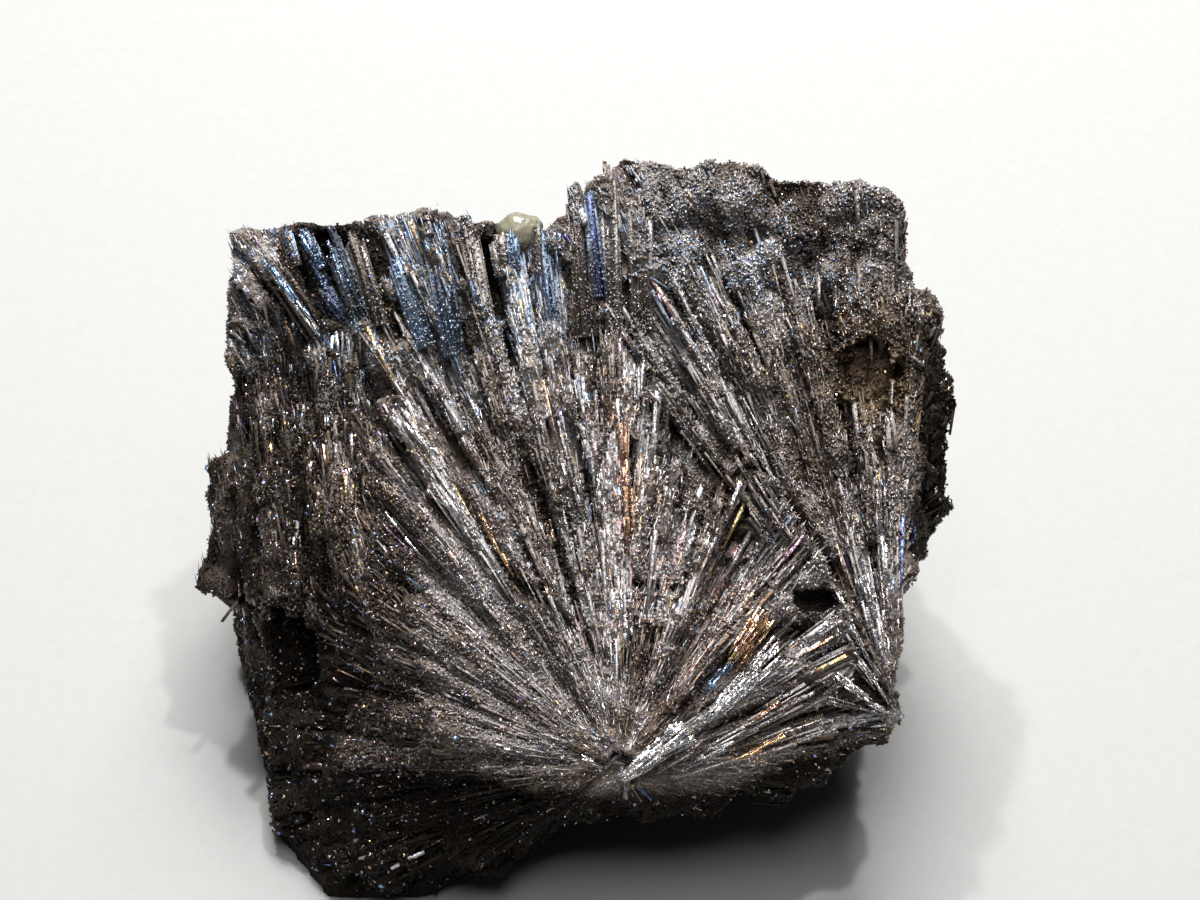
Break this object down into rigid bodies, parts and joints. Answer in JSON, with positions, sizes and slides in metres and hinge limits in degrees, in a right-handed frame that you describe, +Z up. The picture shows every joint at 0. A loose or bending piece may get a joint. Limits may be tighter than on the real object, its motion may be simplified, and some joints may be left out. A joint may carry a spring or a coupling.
{
  "type": "stibnite crystal cluster",
  "caption": "Hand-sized chunk of metallic stibnite with sprays of blades fanning over its tilted top, stepped blade ends on its sides, and a grain of quartz on its back edge.",
  "frame": {"origin": "middle of the bounding box at the level of the flat broken face it stands on", "axes": "+X to the viewer's right along the longest side, +Y from the low front edge to the high back edge, +Z up"},
  "size_m": [0.0636, 0.0472, 0.0428],
  "materials": {
    "stibnite": "satin",
    "quartz": "satin"
  },
  "bodies": {
    "root": {"stibnite_cluster": "stibnite", "quartz_grain": "quartz"}
  },
  "joints": []
}
